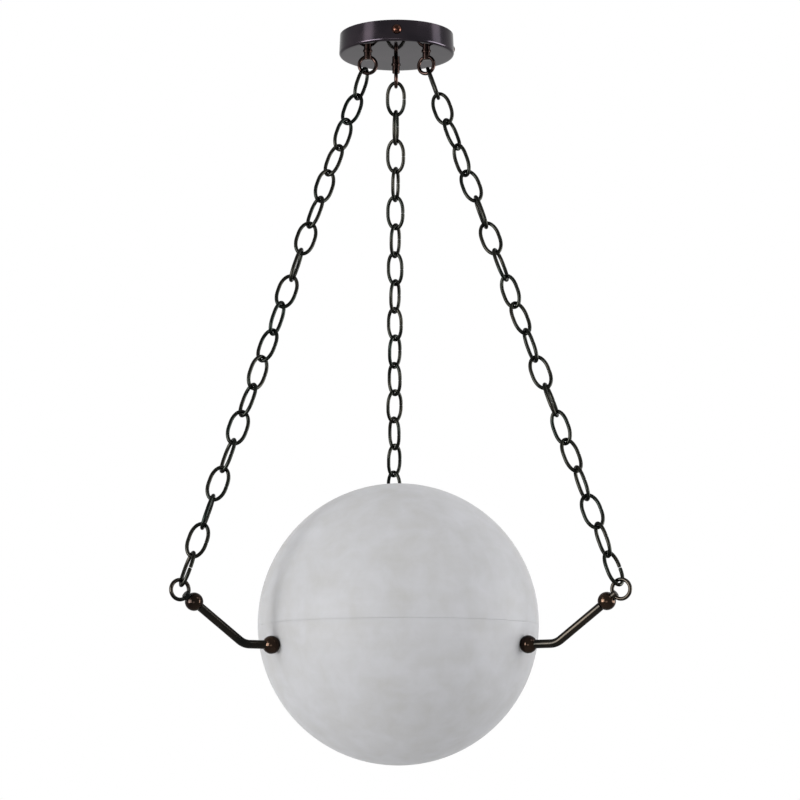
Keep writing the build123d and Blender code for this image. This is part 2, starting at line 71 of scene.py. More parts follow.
SIDES = {"back": 90.0, "left": 210.0, "right": 330.0}
bodies = frame["record"]["behaviour"]["bodies"]
body_of = {node: body for body, members in bodies.items() for node in members}
print("nodes", len(frame["nodes"]), "box", [round(float(v), 4) for corner in cad_box for v in corner])

# %% [markdown]
# ## Camera
#
# The photograph was taken with a long lens from a little below the middle of the globe, looking up. The
# distance, lens and tilt come from fitting the globe's outline, the seam, the canopy's edge and the
# joints of the chains. A long lens keeps the three chains nearly alike in width, which a short one would
# not.

# %% Camera
GLOBE_R = 0.150
CAMERA_FROM_GLOBE = Vector((-0.0598, -2.8254, -0.1655))
CAMERA_TILT = radians(8.195)
CAMERA_YAW = radians(1.264)
CAMERA_ROLL = radians(0.178)
CAMERA_LENS = 118.83
CAMERA_SENSOR = 36.0

globe_middle = Vector((0, 0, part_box("alabaster_dome")[1].z - GLOBE_R))


def add_camera():
    """A camera that turns to its yaw, leans back by its tilt, then rolls about its line of sight."""
    data = bpy.data.cameras.new("camera")
    data.lens = CAMERA_LENS
    data.sensor_width = CAMERA_SENSOR
    camera = bpy.data.objects.new("camera", data)
    yaw = Matrix.Rotation(-CAMERA_YAW, 4, "Z")
    tilt = Matrix.Rotation(pi / 2 + CAMERA_TILT, 4, "X")
    roll = Matrix.Rotation(-CAMERA_ROLL, 4, "Z")
    camera.matrix_world = Matrix.Translation(globe_middle + CAMERA_FROM_GLOBE) @ yaw @ tilt @ roll
    bpy.context.scene.collection.objects.link(camera)
    bpy.context.scene.camera = camera
    return camera


camera = add_camera()
bpy.context.scene.view_settings.view_transform = "Standard"
print("camera at", [round(v, 3) for v in camera.matrix_world.translation])

# %% [markdown]
# ## Room and light
#
# The lamp hangs unlit in a white studio. A dark polished metal shows little but its surroundings, so the
# room matters as much as the metal. A tall soft light on each side stands in the canopy's wall as an
# upright band. Lower down on each side is a wide bright card that shows in polished faces alone: it gives
# the balls, the screws and the rolled edge their bright spots, and runs along the arms and the wire as a
# long highlight. Weak lights in front, above and low on the left fill the globe. The white that the
# camera and the mirrors see behind the lamp is told apart from the weaker light that the room sheds on
# it, and mirrors find the room a little dimmer on its front side, towards -Y. The floor fades into the
# white with distance, as the curved backdrop of a studio does.

# %% Room and light
FLOOR_Z = -2.5
FLOOR_HALF = 6.0
FLOOR_TONE = 0.8
FLOOR_ROUGHNESS = 0.9
FADE_START = 3.0
FADE_END = 5.5
WHITE = 1.0
ROOM_LIGHT = 0.67
FRONT_LEVEL = 0.68
# how far a direction points to the back: dim up to the first, white from the second
FRONT_EDGE = -0.5
SIDE_EDGE = 0.1
# name: middle, width, height, watts
SOFTBOXES = {
    "left_softbox": ((-1.80, -1.08, 0.0), 0.7, 1.8, 13.6),
    "left_fill": ((-1.76, -1.06, -0.85), 0.3, 0.35, 9.5),
    "right_softbox": ((2.00, -0.14, 0.0), 0.7, 1.8, 14.2),
    "front_softbox": ((-0.35, -3.3, -1.3), 1.4, 1.0, 15.5),
    "top_softbox": ((1.9, -1.3, 1.5), 1.2, 0.8, 15.0),
}
CARDS = {
    "left_card": ((-1.68, -1.25, -0.55), 1.6, 1.1, 90.0),
    "right_card": ((2.0, -0.1, -0.55), 1.6, 1.1, 90.0),
}


def seen_directly(tree):
    """One where the camera, a mirror or a glass sees this, and zero where it only sheds light."""
    path = tree.nodes.new("ShaderNodeLightPath")
    first = tree.nodes.new("ShaderNodeMath")
    first.operation = "MAXIMUM"
    tree.links.new(path.outputs["Is Camera Ray"], first.inputs[0])
    tree.links.new(path.outputs["Is Glossy Ray"], first.inputs[1])
    second = tree.nodes.new("ShaderNodeMath")
    second.operation = "MAXIMUM"
    tree.links.new(first.outputs[0], second.inputs[0])
    tree.links.new(path.outputs["Is Transmission Ray"], second.inputs[1])
    return second.outputs[0]


def add_world():
    """White where it is seen, and a weaker white where it lights. Mirrors find its front half dimmer."""
    world = bpy.data.worlds.new("studio")
    world.use_nodes = True
    bpy.context.scene.world = world
    tree = world.node_tree
    background = tree.nodes["Background"]
    background.inputs["Color"].default_value = (1, 1, 1, 1)
    heading = tree.nodes.new("ShaderNodeSeparateXYZ")
    tree.links.new(tree.nodes.new("ShaderNodeTexCoord").outputs["Generated"], heading.inputs[0])
    mirrored = tree.nodes.new("ShaderNodeMapRange")
    mirrored.interpolation_type = "SMOOTHSTEP"
    mirrored.inputs["From Min"].default_value = FRONT_EDGE
    mirrored.inputs["From Max"].default_value = SIDE_EDGE
    mirrored.inputs["To Min"].default_value = FRONT_LEVEL
    mirrored.inputs["To Max"].default_value = WHITE
    tree.links.new(heading.outputs["Y"], mirrored.inputs["Value"])
    level = tree.nodes.new("ShaderNodeMapRange")
    level.inputs["To Min"].default_value = ROOM_LIGHT
    tree.links.new(mirrored.outputs["Result"], level.inputs["To Max"])
    tree.links.new(seen_directly(tree), level.inputs["Value"])
    shown = tree.nodes.new("ShaderNodeMapRange")
    shown.inputs["To Max"].default_value = WHITE
    tree.links.new(level.outputs["Result"], shown.inputs["To Min"])
    tree.links.new(tree.nodes.new("ShaderNodeLightPath").outputs["Is Camera Ray"], shown.inputs["Value"])
    tree.links.new(shown.outputs["Result"], background.inputs["Strength"])


def add_softbox(name, middle, width, height, watts, lights_stone=True):
    """A rectangle of even light that faces the middle of the lamp. A card shows in polished faces alone."""
    data = bpy.data.lights.new(name, "AREA")
    data.shape = "RECTANGLE"
    data.size = width
    data.size_y = height
    data.energy = watts
    light = bpy.data.objects.new(name, data)
    light.location = middle
    light.visible_diffuse = lights_stone
    aim = (cad_box[0] + cad_box[1]) / 2 - Vector(middle)
    light.rotation_euler = aim.to_track_quat("-Z", "Y").to_euler()
    bpy.context.scene.collection.objects.link(light)


def add_floor():
    """A pale floor a room's height below the ceiling. Seen far from the lamp, it lets the white through."""
    mesh = bpy.data.meshes.new("floor")
    corners = FLOOR_HALF * np.array([[-1, -1], [1, -1], [1, 1], [-1, 1]])
    mesh.from_pydata([(x, y, FLOOR_Z) for x, y in corners], [], [(0, 1, 2, 3)])
    floor = bpy.data.objects.new("floor", mesh)
    material = bpy.data.materials.new("pale_floor")
    material.use_nodes = True
    tree = material.node_tree
    shader = tree.nodes["Principled BSDF"]
    shader.inputs["Base Color"].default_value = (FLOOR_TONE, FLOOR_TONE, FLOOR_TONE, 1)
    shader.inputs["Roughness"].default_value = FLOOR_ROUGHNESS
    distance = tree.nodes.new("ShaderNodeVectorMath")
    distance.operation = "LENGTH"
    tree.links.new(tree.nodes.new("ShaderNodeTexCoord").outputs["Object"], distance.inputs[0])
    fade = tree.nodes.new("ShaderNodeMapRange")
    fade.interpolation_type = "SMOOTHSTEP"
    fade.inputs["From Min"].default_value = FADE_START
    fade.inputs["From Max"].default_value = FADE_END
    tree.links.new(distance.outputs["Value"], fade.inputs["Value"])
    tree.links.new(seen_directly(tree), fade.inputs["To Max"])
    clear = tree.nodes.new("ShaderNodeBsdfTransparent")
    blend = tree.nodes.new("ShaderNodeMixShader")
    tree.links.new(fade.outputs["Result"], blend.inputs["Fac"])
    tree.links.new(shader.outputs["BSDF"], blend.inputs[1])
    tree.links.new(clear.outputs["BSDF"], blend.inputs[2])
    tree.links.new(blend.outputs["Shader"], tree.nodes["Material Output"].inputs["Surface"])
    mesh.materials.append(material)
    bpy.context.scene.collection.objects.link(floor)


add_world()
for name, settings in SOFTBOXES.items():
    add_softbox(name, *settings)
for name, settings in CARDS.items():
    add_softbox(name, *settings, lights_stone=False)
add_floor()
print("lights", list(SOFTBOXES), "cards", list(CARDS))

# %% [markdown]
# ## Surfaces from arrays
#
# Every new surface here is a grid: one direction runs along a profile or a path, the other runs round it.
# The whole grid is worked out at once with numpy, then handed to the mesh. Two shapes cover this lamp: a
# profile turned about an axis, for everything spun or turned on a lathe, and a round section carried
# along a path, for everything bent from wire or tube.

# %% Grids, lathes and tubes
SHARP_ANGLE = radians(32)
MERGE = 1e-6


def grid_quads(rows, columns, loop=False):
    """Quads between neighbouring grid points, right round. Loop also joins the last row to the first."""
    row = np.arange(rows if loop else rows - 1)[:, None]
    column = np.arange(columns)[None, :]
    row_up = (row + 1) % rows
    column_on = (column + 1) % columns
    corners = [(row, column), (row, column_on), (row_up, column_on), (row_up, column)]
    return np.stack([r * columns + c for r, c in corners], -1).reshape(-1, 4)


def lathe(profile, columns):
    """A profile of radius and height turned about the z axis: x = r cos a, y = r sin a, z = h."""
    profile = np.array(profile, float)
    angle = np.arange(columns) * 2 * pi / columns
    radius, height = profile[:, :1], profile[:, 1:]
    points = np.stack([radius * np.cos(angle), radius * np.sin(angle), height + 0 * angle], -1)
    return points.reshape(-1, 3), grid_quads(len(profile), columns)


def peg(radius, low, high, columns):
    """A plain round peg on the z axis."""
    return lathe([[0, low], [radius, low], [radius, high], [0, high]], columns)


def tube(path, along, normal, radius, sides, loop=False):
    """A round section carried along a flat path: path + radius (across cos a + normal sin a).

    Across lies in the path's plane, square to the way along, and normal is square to that plane.
    """
    angle = np.arange(sides) * 2 * pi / sides
    across = np.cross(along, normal)
    ring = across[:, None] * np.cos(angle)[:, None] + normal * np.sin(angle)[:, None]
    points = path[:, None] + np.broadcast_to(radius, len(path))[:, None, None] * ring
    return points.reshape(-1, 3), grid_quads(len(path), sides, loop)


def arc(middle, radius, start, end, count):
    """Points on a circle from one angle to another, in degrees."""
    angle = np.radians(np.linspace(start, end, count))
    return np.stack([middle[0] + radius * np.cos(angle), middle[1] + radius * np.sin(angle)], -1)


def moved(surface, origin, x, y, z):
    """A surface taken from its own axes to an origin and three directions."""
    points, quads = surface
    return points @ np.array([x, y, z], float) + np.array(origin, float), quads


def joined(surfaces):
    """Several surfaces as one list of points and one of quads."""
    starts = np.cumsum([0] + [len(points) for points, _ in surfaces[:-1]])
    quads = [quads + start for (_, quads), start in zip(surfaces, starts)]
    return np.concatenate([points for points, _ in surfaces]), np.concatenate(quads)


def outward(angle, out, up):
    """The point at a compass angle, a distance out from the lamp's axis, and its height."""
    return np.array([out * cos(radians(angle)), out * sin(radians(angle)), up])


def outward_axes(angle, rise=0.0):
    """Three directions at a compass angle: level and across, up and across, and outwards by a rise."""
    out = outward(angle, cos(rise), sin(rise))
    level = outward(angle + 90, 1, 0)
    return level, np.cross(out, level), out


# %% Meshes and pieces


def smooth(mesh):
    """Smooth faces, with sharp edges where two faces meet at more than the sharp angle."""
    mesh.polygons.foreach_set("use_smooth", np.ones(len(mesh.polygons), bool))
    mesh.set_sharp_from_angle(angle=SHARP_ANGLE)


def closed_mesh(name, surface):
    """A mesh from a surface, with its poles joined and its faces outwards.

    The signed volume, the sum of a . (b x c) / 6 over all triangles, is negative where they point inwards.
    """
    points, quads = surface
    a, b, c, d = (points[quads[:, i]] for i in range(4))
    volume = np.sum(a * np.cross(b, c) + a * np.cross(c, d)) / 6
    if volume < 0:
        quads = quads[:, ::-1]
    mesh = bpy.data.meshes.new(name)
    mesh.from_pydata(points, [], quads)
    shape = bmesh.new()
    shape.from_mesh(mesh)
    bmesh.ops.remove_doubles(shape, verts=shape.verts, dist=MERGE)
    shape.to_mesh(mesh)
    shape.free()
    smooth(mesh)
    return mesh


def piece(name, surface, material, slot, *replaced):
    """A mesh object from a surface. It stands for CAD nodes and rides on their body."""
    mesh = closed_mesh(name, surface)
    mesh.materials.append(material)
    made = bpy.data.objects.new(name, mesh)
    bpy.context.scene.collection.objects.link(made)
    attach(made, body_of[replaced[0]])
    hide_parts(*replaced)
    print(name, "faces", len(mesh.polygons))
    return made


def drill(target, surface):
    """Take a closed surface out of a piece, and keep the result as the piece's own mesh."""
    cutter = bpy.data.objects.new("cutter", closed_mesh("cutter", surface))
    bpy.context.scene.collection.objects.link(cutter)
    cut = target.modifiers.new("drill", "BOOLEAN")
    cut.operation = "DIFFERENCE"
    cut.solver = "EXACT"
    cut.object = cutter
    drilled = target.evaluated_get(bpy.context.evaluated_depsgraph_get())
    mesh = bpy.data.meshes.new_from_object(drilled)
    target.modifiers.remove(cut)
    target.data = mesh
    smooth(mesh)
    bpy.data.meshes.remove(cutter.data)
    print(target.name, "drilled, faces", len(mesh.polygons))


# %% [markdown]
# ## Finishes
#
# A finish is a few layers of noise on the piece's own coordinates: a wide one for the drift of tone
# across the piece, and finer ones for what the hand or the machine left. The same layers drive colour,
# roughness and relief, because on a real surface they have one cause.

# %% Small parts of a finish


class Finish:
    """A material with a Principled shader, and short ways to add the nodes that this lamp needs."""

    def __init__(self, name, **constants):
        self.material = bpy.data.materials.new(name)
        self.material.use_nodes = True
        self.tree = self.material.node_tree
        self.shader = self.tree.nodes["Principled BSDF"]
        self.place = self.tree.nodes.new("ShaderNodeTexCoord").outputs["Object"]
        for socket, value in constants.items():
            self.shader.inputs[socket.replace("_", " ")].default_value = value

    def node(self, kind, inputs=(), **settings):
        """A node with some settings, its inputs set to values or linked to sockets."""
        made = self.tree.nodes.new(kind)
        for key, value in settings.items():
            setattr(made, key, value)
        for key, value in dict(inputs).items():
            if isinstance(value, bpy.types.NodeSocket):
                self.tree.links.new(value, made.inputs[key])
            else:
                made.inputs[key].default_value = value
        return made

    def noise(self, scale, detail=3.0, roughness=0.5, distortion=0.0, place=None):
        """Cloudy noise with so many waves to the metre."""
        inputs = {"Vector": place or self.place, "Scale": scale, "Detail": detail}
        inputs.update({"Roughness": roughness, "Distortion": distortion})
        return self.node("ShaderNodeTexNoise", inputs).outputs["Fac"]

    def mix(self, factor, first, second):
        """Two values mixed by a factor."""
        return self.node("ShaderNodeMix", {0: factor, 2: first, 3: second}).outputs[0]

    def span(self, value, low, high, to_low, to_high):
        """A value's range stretched to another range, cut off at its ends."""
        inputs = {"Value": value, "From Min": low, "From Max": high, "To Min": to_low, "To Max": to_high}
        return self.node("ShaderNodeMapRange", inputs).outputs["Result"]

    def colours(self, factor, *stops):
        """A colour for each value of a factor, from (position, colour) stops."""
        ramp = self.node("ShaderNodeValToRGB", {"Fac": factor})
        elements = ramp.color_ramp.elements
        while len(elements) < len(stops):
            elements.new(1.0)
        for element, (position, colour) in zip(elements, stops):
            element.position = position
            element.color = (*colour, 1.0)
        return ramp.outputs["Color"]

    def relief(self, height, strength, depth):
        """A bump whose full height is so deep, in metres."""
        bump = self.node("ShaderNodeBump", {"Height": height, "Strength": strength, "Distance": depth})
        self.set("Normal", bump.outputs["Normal"])

    def set(self, socket, value):
        """Link a value to the shader."""
        self.tree.links.new(value, self.shader.inputs[socket])


# %% [markdown]
# ## Alabaster
#
# Alabaster is a soft, slightly clear stone. Light goes a few millimetres in before it comes back, which
# rounds off the shading, and the stone's cloudy bands show as pale and dim patches with no sharp edge.
# Wide clouds, small patches and thin tilted beds are mixed, all bent a little so that they smear along
# each other, as they do in the stone. The pattern is shifted so that its pale patches fall where the globe
# is lit and its dim ones where it is shaded, so the clouds carry some painted light and painted shade. Fine
# grain breaks up the gloss of the honed face.

# %% Alabaster
STONE_DIM = (0.456, 0.453, 0.450)
STONE_MID = (0.494, 0.495, 0.506)
STONE_PALE = (0.538, 0.540, 0.562)
STONE_CLEAR = 0.35
STONE_SCATTER = (1.0, 0.95, 0.9)
STONE_DEPTH = 0.006
STONE_SHEEN = 0.04
STONE_ROUGHNESS = (0.38, 0.5)
HONED_RELIEF = 0.15
HONED_DEPTH = 0.0003
CLOUD_WAVES = 7.0
PATCH_WAVES = 44.0
GRAIN_WAVES = 420.0
BED_SHARE = 0.3
PATCH_SHARE = 0.45
BED_TILT = (radians(28), radians(-24), 0)
BED_SCALE = (6, 6, 60)
# where the pale and dim clouds fall, set to match the globe's light and shade: partly painted light and
# shade
SHADE_FITTED_SHIFT = (0.4, 0.1, 0.3)


def alabaster_finish():
    """Soft clouds between a dim and a pale stone, with a honed face that lets light in."""
    finish = Finish("alabaster", Subsurface_Weight=STONE_CLEAR, Subsurface_Radius=STONE_SCATTER)
    finish.shader.inputs["Subsurface Scale"].default_value = STONE_DEPTH
    finish.shader.inputs["Specular IOR Level"].default_value = STONE_SHEEN
    # shifted so that pale clouds lie where the globe is lit and dim ones where it is shaded: painted light
    # and shade
    block = finish.node("ShaderNodeMapping", {"Vector": finish.place, "Location": SHADE_FITTED_SHIFT})
    finish.place = block.outputs["Vector"]
    cloud = finish.noise(CLOUD_WAVES, 3.0, 0.5, 0.4)
    patch = finish.noise(PATCH_WAVES, 3.0, 0.55, 0.3)
    grain = finish.noise(GRAIN_WAVES, 2.0)
    bed_place = {"Vector": finish.place, "Rotation": BED_TILT, "Scale": BED_SCALE}
    turned = finish.node("ShaderNodeMapping", bed_place)
    bed = finish.noise(1.0, 3.0, 0.5, 0.6, turned.outputs["Vector"])
    mixed = finish.mix(PATCH_SHARE, finish.mix(BED_SHARE, cloud, bed), patch)
    stops = ((0.34, STONE_DIM), (0.5, STONE_MID), (0.66, STONE_PALE))
    finish.set("Base Color", finish.colours(mixed, *stops))
    finish.set("Roughness", finish.span(grain, 0.3, 0.7, *STONE_ROUGHNESS))
    finish.relief(patch, HONED_RELIEF, HONED_DEPTH)
    return finish.material


alabaster = alabaster_finish()

# %% [markdown]
# ## Dark bronze
#
# The metal is brass with a dark chemical patina, polished and waxed. It reads almost black, but where a
# light catches it the brass shows through as a warm brown, most of all on the balls, hooks and screws,
# which are handled. The patina is a little uneven, so tone and gloss drift across each piece. Such a dull
# coat shines less at a glancing angle than bare metal does, which the edge tint allows for. The canopy is
# spun, and keeps faint rings from the tool; its flat underside takes a better polish than its wall, so it
# mirrors the hooks.

# %% Dark bronze
EDGE_TINT = 0.7
PATINA_WAVES = 22.0
GLOSS_DRIFT = 0.06
RING_WAVES = 900.0
RING_RELIEF = 0.10
RING_DEPTH = 0.00005
UNDERSIDE_GLOSS = 0.06
POLISH_FADE = 0.002
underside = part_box("canopy_cup")[0].z


def bronze_finish(name, dark, warm, gloss, spun=False):
    """A patina that drifts from dark to warm. A spun piece has tool rings and a polished underside."""
    finish = Finish(name, Metallic=1.0)
    finish.shader.inputs["Specular Tint"].default_value = (EDGE_TINT, EDGE_TINT, EDGE_TINT, 1)
    drift = finish.noise(PATINA_WAVES, 3.0, 0.55, 0.5)
    finish.set("Base Color", finish.colours(drift, (0.35, dark), (0.72, warm)))
    roughness = finish.span(drift, 0.3, 0.7, gloss, gloss + GLOSS_DRIFT)
    if spun:
        split = finish.node("ShaderNodeSeparateXYZ", {"Vector": finish.place})
        flat = finish.node("ShaderNodeCombineXYZ", {"X": split.outputs["X"], "Y": split.outputs["Y"]})
        radius = finish.node("ShaderNodeVectorMath", {"Vector": flat.outputs[0]}, operation="LENGTH")
        place = finish.node("ShaderNodeCombineXYZ", {"X": radius.outputs["Value"], "Y": split.outputs["Z"]})
        rings = finish.noise(RING_WAVES, 2.0, place=place.outputs[0])
        finish.relief(rings, RING_RELIEF, RING_DEPTH)
        up_wall = finish.span(split.outputs["Z"], underside, underside + POLISH_FADE, 0.0, 1.0)
        roughness = finish.mix(up_wall, UNDERSIDE_GLOSS, roughness)
    finish.set("Roughness", roughness)
    return finish.material


canopy_bronze = bronze_finish("canopy_bronze", (0.024, 0.0207, 0.0253), (0.039, 0.031, 0.037), 0.17, True)
screw_bronze = bronze_finish("screw_bronze", (0.034, 0.015, 0.011), (0.060, 0.026, 0.017), 0.08)
arm_bronze = bronze_finish("arm_bronze", (0.0088, 0.0098, 0.0095), (0.024, 0.0195, 0.015), 0.16)
hook_bronze = bronze_finish("hook_bronze", (0.015, 0.0105, 0.0095), (0.036, 0.021, 0.017), 0.14)
ball_bronze = bronze_finish("ball_bronze", (0.011, 0.008, 0.007), (0.042, 0.026, 0.017), 0.07)
chain_bronze = bronze_finish("chain_bronze", (0.0075, 0.0096, 0.0084), (0.0155, 0.0142, 0.0115), 0.24)

# %% [markdown]
# ## Globe
#
# Each half shell is turned and hollowed from one block. The bowl has a lip that stands up inside the
# wall, and the dome drops over it, so the seam on the outside is only a hair line with two broken edges.
# The profile of each half goes up the outside, across the seam and back down the inside, and is turned
# about the lamp's axis. The bowl is then drilled for the three studs, with a flat spot for a washer at
# each end of the hole.

# %% Globe
WALL = 0.010
SEAM_BELOW = 0.0024
SEAM_GAP = 0.00003
SEAM_EDGE = 0.0001
LIP_HEIGHT = 0.004
LIP_WALL = 0.0045
LIP_CLEAR = 0.0004
OUTER_SPOT_R = 0.008
INNER_SPOT_R = 0.0095
OUTER_WASHER_T = 0.0012
STUD_CLEAR_R = 0.004
DRILL_PAST = 0.012
DRILL_COLUMNS = 40
GLOBE_ROWS = 72
GLOBE_COLUMNS = 192


def meridian(radius, from_height, to_height):
    """Points on a ball's outline between two heights from its middle, even in angle."""
    start, end = np.arcsin(np.array([from_height, to_height]) / radius)
    angle = np.linspace(start, end, GLOBE_ROWS)
    return np.stack([radius * np.cos(angle), radius * np.sin(angle)], -1)


def half_shell(sign, outer_edge, seam, step_radius, step_height):
    """Radius and height of one half, from the globe's middle: outside, seam with its step, inside."""
    bore = GLOBE_R - WALL
    seam_radius = sqrt(GLOBE_R**2 - seam**2) - SEAM_EDGE
    steps = np.array([[seam_radius, seam], [step_radius, seam], [step_radius, step_height]])
    outside = meridian(GLOBE_R, sign * GLOBE_R, outer_edge)
    inside = meridian(bore, step_height, sign * bore)
    return np.concatenate([outside, steps, inside]) + [0, globe_middle.z]


def stud_drill():
    """Radius and distance out of the drill for one stud: inner spot, hole, outer spot."""
    inner_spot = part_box("inner_soft_washers")[1].y
    outer_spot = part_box("outer_soft_washers")[1].y - OUTER_WASHER_T
    inside, outside = inner_spot - DRILL_PAST, outer_spot + DRILL_PAST
    inner = [[0, inside], [INNER_SPOT_R, inside], [INNER_SPOT_R, inner_spot], [STUD_CLEAR_R, inner_spot]]
    outer = [[STUD_CLEAR_R, outer_spot], [OUTER_SPOT_R, outer_spot], [OUTER_SPOT_R, outside], [0, outside]]
    return lathe(inner + outer, DRILL_COLUMNS)


stud_low, stud_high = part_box("wall_studs")
stud_level = (0, 0, (stud_low.z + stud_high.z) / 2)
lip_radius = GLOBE_R - WALL + LIP_WALL
lip_top = LIP_HEIGHT - SEAM_BELOW
bowl_outline = half_shell(-1, -SEAM_BELOW - SEAM_EDGE, -SEAM_BELOW, lip_radius, lip_top)
dome_seam = SEAM_GAP - SEAM_BELOW
dome_outline = half_shell(1, dome_seam + SEAM_EDGE, dome_seam, lip_radius + LIP_CLEAR, lip_top + LIP_CLEAR)
bowl = piece("bowl", lathe(bowl_outline, GLOBE_COLUMNS), alabaster, "alabaster", "alabaster_bowl")
drill(bowl, joined([moved(stud_drill(), stud_level, *outward_axes(angle)) for angle in SIDES.values()]))
piece("dome", lathe(dome_outline, GLOBE_COLUMNS), alabaster, "alabaster", "alabaster_dome")

# %% [markdown]
# ## Canopy
#
# The canopy is spun from sheet: a flat underside, a rolled edge and a wall that narrows a little towards
# the ceiling. Its outline goes along the underside, round the edge, up the wall, over the rim and back
# inside. It is drilled for the three hook eyes and for the three domed screws that hold it to the ceiling
# bracket.

# %% Canopy
CANOPY_SHEET = 0.0012
CANOPY_FLARE = 0.001
CANOPY_EDGE_R = 0.0026
CANOPY_COLUMNS = 256
EDGE_ROWS = 9
UNDERSIDE_RINGS = (0.0, 0.3, 0.6, 0.9)
HOOK_CIRCLE_R = 0.037
HOOK_HOLE_R = 0.0033
SCREW_ANGLES = (269, 16, 143)
SCREW_UP = 0.0125
SCREW_HEAD_R = 0.0055
SCREW_HEAD_H = 0.0044
SCREW_R = 0.002
SCREW_HOLE_R = 0.0023
SCREW_SEAT = 0.0003
SCREW_LENGTH = 0.0105
SCREW_COLUMNS = 40
SCREW_ROWS = 12
canopy_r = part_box("canopy_cup")[1].x


def canopy_outline():
    """Radius and height along the sheet: outside from the underside's middle to the rim, then inside."""
    lean = degrees(atan2(CANOPY_FLARE, -underside))
    edge_in = CANOPY_EDGE_R * (1 - CANOPY_FLARE / underside)
    middle = (canopy_r - edge_in, underside + CANOPY_EDGE_R)
    outside = arc(middle, CANOPY_EDGE_R, -90, lean, EDGE_ROWS)
    inside = arc(middle, CANOPY_EDGE_R - CANOPY_SHEET, lean, -90, EDGE_ROWS)
    rim = canopy_r - CANOPY_FLARE
    floor = [[share * canopy_r, underside] for share in UNDERSIDE_RINGS]
    wall = [[rim, 0.0], [rim - CANOPY_SHEET, 0.0]]
    return np.concatenate([floor, outside, wall, inside, [[0.0, underside + CANOPY_SHEET]]])


def screw_outline():
    """Radius and height of a side screw: its shank, the flat under its head, and a dome of one radius."""
    dome_r = (SCREW_HEAD_R**2 + SCREW_HEAD_H**2) / (2 * SCREW_HEAD_H)
    middle = (0, SCREW_HEAD_H - dome_r)
    start = degrees(atan2(dome_r - SCREW_HEAD_H, SCREW_HEAD_R))
    shank = [[0, -SCREW_LENGTH], [SCREW_R, -SCREW_LENGTH], [SCREW_R, 0]]
    return np.concatenate([shank, arc(middle, dome_r, start, 90, SCREW_ROWS)])


screw_z = underside + SCREW_UP
screw_out = canopy_r + CANOPY_FLARE * SCREW_UP / underside + SCREW_SEAT
hook_hole = peg(HOOK_HOLE_R, underside - CANOPY_SHEET, underside + 2 * CANOPY_SHEET, DRILL_COLUMNS)
screw_hole = peg(SCREW_HOLE_R, screw_out - 3 * CANOPY_SHEET, screw_out + CANOPY_SHEET, DRILL_COLUMNS)
hook_holes = [moved(hook_hole, outward(angle, HOOK_CIRCLE_R, 0), *np.eye(3)) for angle in SIDES.values()]
screw_holes = [moved(screw_hole, (0, 0, screw_z), *outward_axes(angle)) for angle in SCREW_ANGLES]
canopy = piece("canopy", lathe(canopy_outline(), CANOPY_COLUMNS), canopy_bronze, "bronze", "canopy_cup")
drill(canopy, joined(hook_holes + screw_holes))

screw = lathe(screw_outline(), SCREW_COLUMNS)
screws = [moved(screw, outward(angle, screw_out, screw_z), *outward_axes(angle)) for angle in SCREW_ANGLES]
piece("side_screws", joined(screws), screw_bronze, "bronze", "canopy_side_screws")

# %% [markdown]
# ## Chains
#
# A link is wire wound on an oval mandrel, cut and closed, so its two ends meet in a butt gap halfway
# along one side. Each link hangs turned about a quarter from the last one, but the chain twists as it
# likes, so every link has its own turn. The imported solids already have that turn: the singular vectors of
# a solid's points are its long, wide and thin directions, and the gap is on the side that has points
# halfway along.

# %% Where each link lies
LINK_WIRE = 0.004
LINK_WIDTH = 0.0226
LINK_LENGTH = 0.0404
LINK_STRAIGHT = 0.005
RUN_LINKS = 17
GAP_REACH = 0.0012


def solid_points(node, count):
    """The corners of each of a node's equal solids, without repeats."""
    mesh = frame["nodes"][node].data
    corners = np.empty(len(mesh.loops), np.int32)
    mesh.loops.foreach_get("vertex_index", corners)
    points = np.empty(3 * len(mesh.vertices), np.float32)
    mesh.vertices.foreach_get("co", points)
    groups = points.reshape(-1, 3)[corners].reshape(count, -1, 3).astype(float)
    return [np.unique(group.round(6), axis=0) for group in groups]


def link_axes(points):
    """A link's middle and its wide, long and thin directions, with the butt gap on the wide side."""
    mean = points.mean(0)
    directions = np.linalg.svd(points - mean, full_matrices=False)[2]
    local = (points - mean) @ directions.T
    middle = mean + (local.min(0) + local.max(0)) / 2 @ directions
    long, wide = directions[0], directions[1]
    near_gap = np.abs((points - middle) @ long) < GAP_REACH
    if np.sum((points[near_gap] - middle) @ wide) < 0:
        wide = -wide
    return middle, wide, long, np.cross(wide, long)


# %% Wire links
LINK_SIDES = 14
BEND_ROWS = 21
BUTT_GAP = 0.0004
OPEN_GAP = 0.001
BUTT_ROUND = 0.0003


def link_surface(gap):
    """A wire from one side of its butt gap, round both ends and back, with slightly rounded cut ends.

    Each end is half an ellipse: x = w cos t and y = s + b sin t, where s is half the straight and b the bow.
    """
    half_width = (LINK_WIDTH - LINK_WIRE) / 2
    bow = (LINK_LENGTH - LINK_WIRE - LINK_STRAIGHT) / 2
    turn = np.radians(np.linspace(0, 180, BEND_ROWS))
    top = np.stack([half_width * np.cos(turn), LINK_STRAIGHT / 2 + bow * np.sin(turn)], -1)
    heading = np.stack([-half_width * np.sin(turn), bow * np.cos(turn)], -1)
    heading /= np.linalg.norm(heading, axis=1, keepdims=True)
    starts = gap / 2 + np.array([0.0, 0.0, BUTT_ROUND])
    start = np.stack([np.full(3, half_width), starts], -1)
    up = np.tile([0.0, 1.0], (3, 1))
    path = np.concatenate([start, top, -top, start[::-1] * [1, -1]])
    along = np.concatenate([up, heading, -heading, up])
    wire = LINK_WIRE / 2
    ends = np.array([0, wire - BUTT_ROUND, wire])
    radius = np.concatenate([ends, np.full(2 * BEND_ROWS, wire), ends[::-1]])
    flat = np.zeros((len(path), 1))
    return tube(np.hstack([path, flat]), np.hstack([along, flat]), np.array([0, 0, 1.0]), radius, LINK_SIDES)


def links_like(node, count, gap):
    """A round-wire link in place of each of a node's solids."""
    link = link_surface(gap)
    return joined([moved(link, *link_axes(corners)) for corners in solid_points(node, count)])


